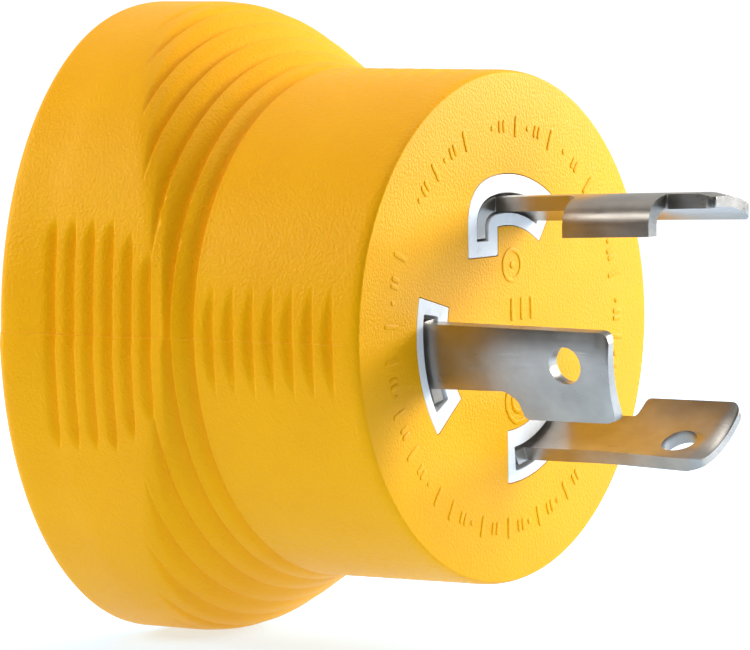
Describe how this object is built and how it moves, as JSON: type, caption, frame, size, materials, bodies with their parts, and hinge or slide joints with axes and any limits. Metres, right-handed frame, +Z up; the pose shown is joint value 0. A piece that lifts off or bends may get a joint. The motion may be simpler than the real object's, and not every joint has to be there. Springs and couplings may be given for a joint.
{
  "type": "power plug adapter",
  "caption": "Short rigid yellow power adapter: a curved-blade locking plug on a round neck flares through grip rings into a larger oval body with a slotted travel-trailer receptacle behind.",
  "frame": {"origin": "centre of the plug's flat yellow face, where the blades come out", "axes": "+X out of the plug's face along the blades, +Z up towards the ground blade, +Y to the right seen from the plug's front"},
  "size_m": [0.076, 0.0592, 0.0716],
  "materials": {
    "yellow_vinyl": "satin with a fine moulded grain",
    "white_nylon": "smooth, semi-gloss",
    "grey_plastic": "moulded, matte",
    "nickel": "satin nickel plating",
    "brass": "stamped, satin",
    "copper": "stamped copper alloy, satin",
    "spring_steel": "plain spring steel"
  },
  "bodies": {
    "root": {"outer_jacket": "yellow_vinyl", "plug_insert": "white_nylon", "plug_back_plate": "white_nylon", "neutral_blade": "nickel", "hot_blade": "nickel", "ground_blade": "nickel", "neutral_link": "copper", "neutral_blade_rivet": "brass", "neutral_contact_rivet": "brass", "hot_link": "copper", "hot_blade_rivet": "brass", "hot_contact_rivet": "brass", "ground_link": "copper", "ground_blade_rivet": "brass", "ground_contact_rivet": "brass", "core_shell_upper": "grey_plastic", "core_shell_lower": "grey_plastic", "receptacle_back_plate": "white_nylon", "neutral_contact": "brass", "neutral_contact_spring": "spring_steel", "hot_contact": "brass", "hot_contact_spring": "spring_steel", "ground_contact": "brass", "ground_contact_spring": "spring_steel", "receptacle_insert": "white_nylon"}
  },
  "joints": []
}
